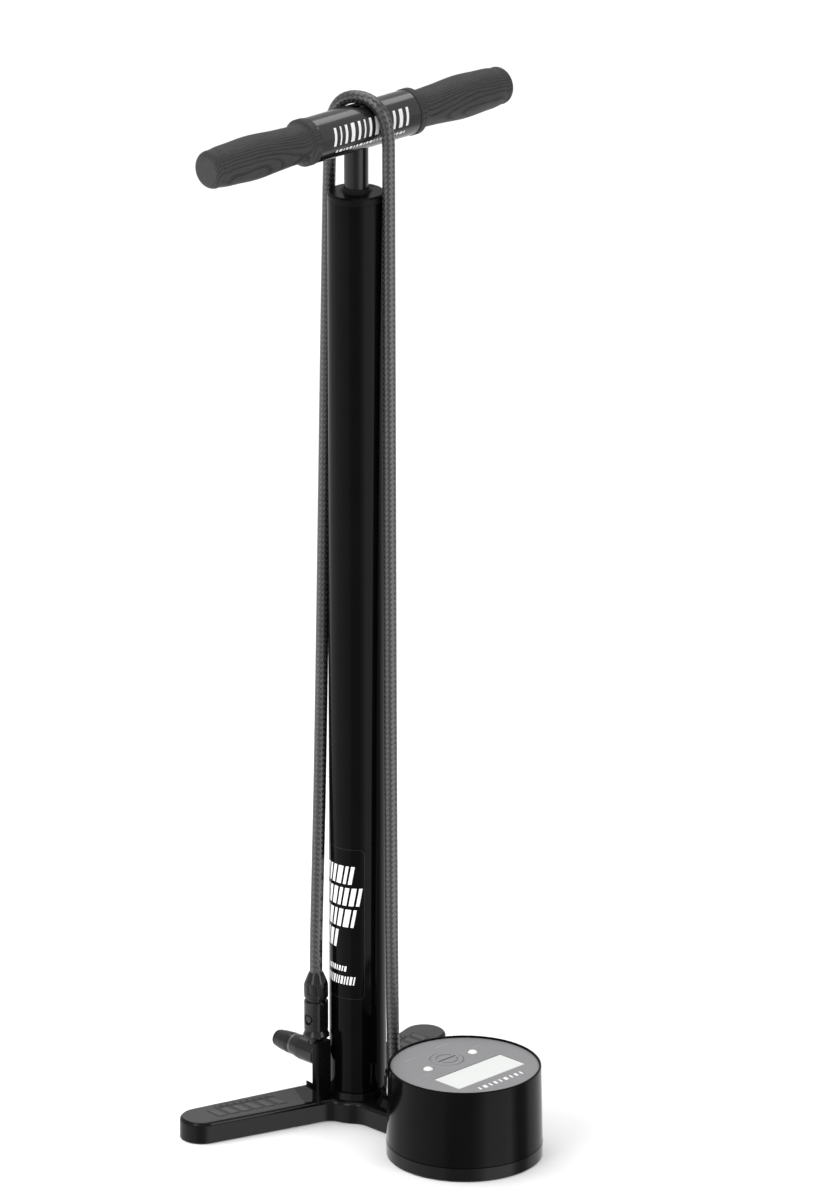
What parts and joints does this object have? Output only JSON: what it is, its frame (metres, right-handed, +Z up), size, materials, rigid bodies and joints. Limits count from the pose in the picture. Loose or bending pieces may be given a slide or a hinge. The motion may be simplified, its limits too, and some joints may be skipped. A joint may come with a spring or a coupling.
{
  "type": "floor bicycle pump",
  "caption": "Floor bicycle pump with a long barrel, T handle with turned grips, round digital gauge on the base, and a braided hose looped over the handle to a docked chuck.",
  "frame": {"origin": "on the floor under the barrel's axis, at the underside of the hub's rubber pad", "axes": "+Z up along the barrel; +X to the handle's right end seen from the gauge; -Y towards the gauge, +Y towards the rear legs"},
  "size_m": [0.2554, 0.1981, 0.6748],
  "materials": {
    "cast_black": "gloss",
    "barrel_black": "gloss",
    "rod_black": "gloss",
    "tube_black": "gloss",
    "anodised_black": "satin",
    "grip_wood": "satin",
    "rubber_black": "matte",
    "seal_rubber": "matte",
    "acetal_black": "matte",
    "bright_nickel": "polished",
    "steel": "satin",
    "brass": "satin",
    "aluminium": "satin",
    "housing_black": "gloss",
    "face_grey": "gloss",
    "window_clear": "clear",
    "panel_pale": "matte",
    "board_green": "satin",
    "button_white": "gloss",
    "cell_blue": "gloss",
    "hose_braid": "woven"
  },
  "bodies": {
    "base": {"base_casting": "cast_black", "leg_foot_pads": "rubber_black", "front_foot_pads": "rubber_black", "hub_foot_pad": "rubber_black", "gallery_plug": "brass", "chuck_dock": "anodised_black", "check_valve_body": "brass", "check_valve_spring": "steel", "barrel_tube": "barrel_black", "barrel_base_seal": "seal_rubber", "barrel_cap": "anodised_black", "rod_guide_bushing": "acetal_black", "rod_wiper_seal": "seal_rubber", "hose_fitting": "bright_nickel", "hose_ferrule": "anodised_black", "gauge_housing": "housing_black", "gauge_gasket": "seal_rubber", "gauge_screws": "steel", "gauge_face": "face_grey", "lcd_glass": "window_clear", "lcd_module": "panel_pale", "circuit_board": "board_green", "tact_switches": "acetal_black", "pressure_sensor": "steel", "battery_holder": "acetal_black", "batteries": "cell_blue", "battery_door": "acetal_black", "battery_door_screws": "steel", "hose_riser": "hose_braid", "hose_drop": "hose_braid"},
    "valve_poppet": {"check_valve_poppet": "brass"},
    "piston_assembly": {"piston": "aluminium", "piston_seal": "seal_rubber", "piston_wear_ring": "acetal_black", "piston_washer": "steel", "piston_bolt": "steel", "top_out_bumper": "rubber_black"},
    "rod_and_handle": {"piston_rod": "rod_black", "rod_lower_plug": "steel", "rod_upper_plug": "steel", "handle_tube": "tube_black", "handle_hub": "aluminium", "left_grip": "grip_wood", "right_grip": "grip_wood", "grip_studs": "steel", "handle_bolt": "steel"},
    "left_button": {"unit_button": "button_white"},
    "right_button": {"mode_button": "button_white"},
    "power_key": {"power_button": "face_grey"},
    "chuck_lower": {"chuck_head": "anodised_black", "chuck_seam_ring": "steel", "chuck_seal": "seal_rubber", "chuck_pin": "brass"},
    "lock_sleeve": {"chuck_lock_sleeve": "anodised_black", "chuck_rim": "seal_rubber"},
    "chuck_upper": {"swivel_ring": "anodised_black", "bleed_block": "anodised_black", "hose_nut": "anodised_black", "bleed_button_spring": "steel"},
    "bleed_key": {"bleed_button": "anodised_black"}
  },
  "joints": [
    {"name": "handle_lift", "type": "slide", "parent": "base", "child": "piston_assembly", "axis": [0, 0, 1], "range_m": [0, 0.52], "deforming": ["hose_riser"]},
    {"name": "handle_swivel", "type": "hinge", "parent": "piston_assembly", "child": "rod_and_handle", "pos_m": [0, 0, 0.652], "axis": [0, 0, 1], "range_deg": [-3, 30]},
    {"name": "check_valve_lift", "type": "slide", "parent": "base", "child": "valve_poppet", "axis": [0, 0, -1], "range_m": [0, 0.0015], "stiffness_N_per_m": 200, "springref_m": -0.002, "deforming": ["check_valve_spring"]},
    {"name": "left_button_press", "type": "slide", "parent": "base", "child": "left_button", "axis": [0, 0, -1], "range_m": [0, 0.0005], "stiffness_N_per_m": 800, "springref_m": -0.001},
    {"name": "right_button_press", "type": "slide", "parent": "base", "child": "right_button", "axis": [0, 0, -1], "range_m": [0, 0.0005], "stiffness_N_per_m": 800, "springref_m": -0.001},
    {"name": "power_key_press", "type": "slide", "parent": "base", "child": "power_key", "axis": [0, 0, -1], "range_m": [0, 0.0005], "stiffness_N_per_m": 800, "springref_m": -0.001},
    {"name": "chuck_undock", "type": "slide", "parent": "base", "child": "chuck_lower", "axis": [0, 1, 0], "range_m": [0, 0.014], "deforming": ["hose_drop"]},
    {"name": "lock_sleeve_slide", "type": "slide", "parent": "chuck_lower", "child": "lock_sleeve", "axis": [0, 1, 0], "range_m": [0, 0.004]},
    {"name": "chuck_swivel", "type": "hinge", "parent": "chuck_lower", "child": "chuck_upper", "pos_m": [-0.0235, 0.0136, 0.0568], "axis": [0, 0, 1], "continuous": true},
    {"name": "bleed_press", "type": "slide", "parent": "chuck_upper", "child": "bleed_key", "axis": [1, 0, 0], "range_m": [0, 0.0008], "stiffness_N_per_m": 500, "springref_m": -0.002, "deforming": ["bleed_button_spring"]}
  ]
}
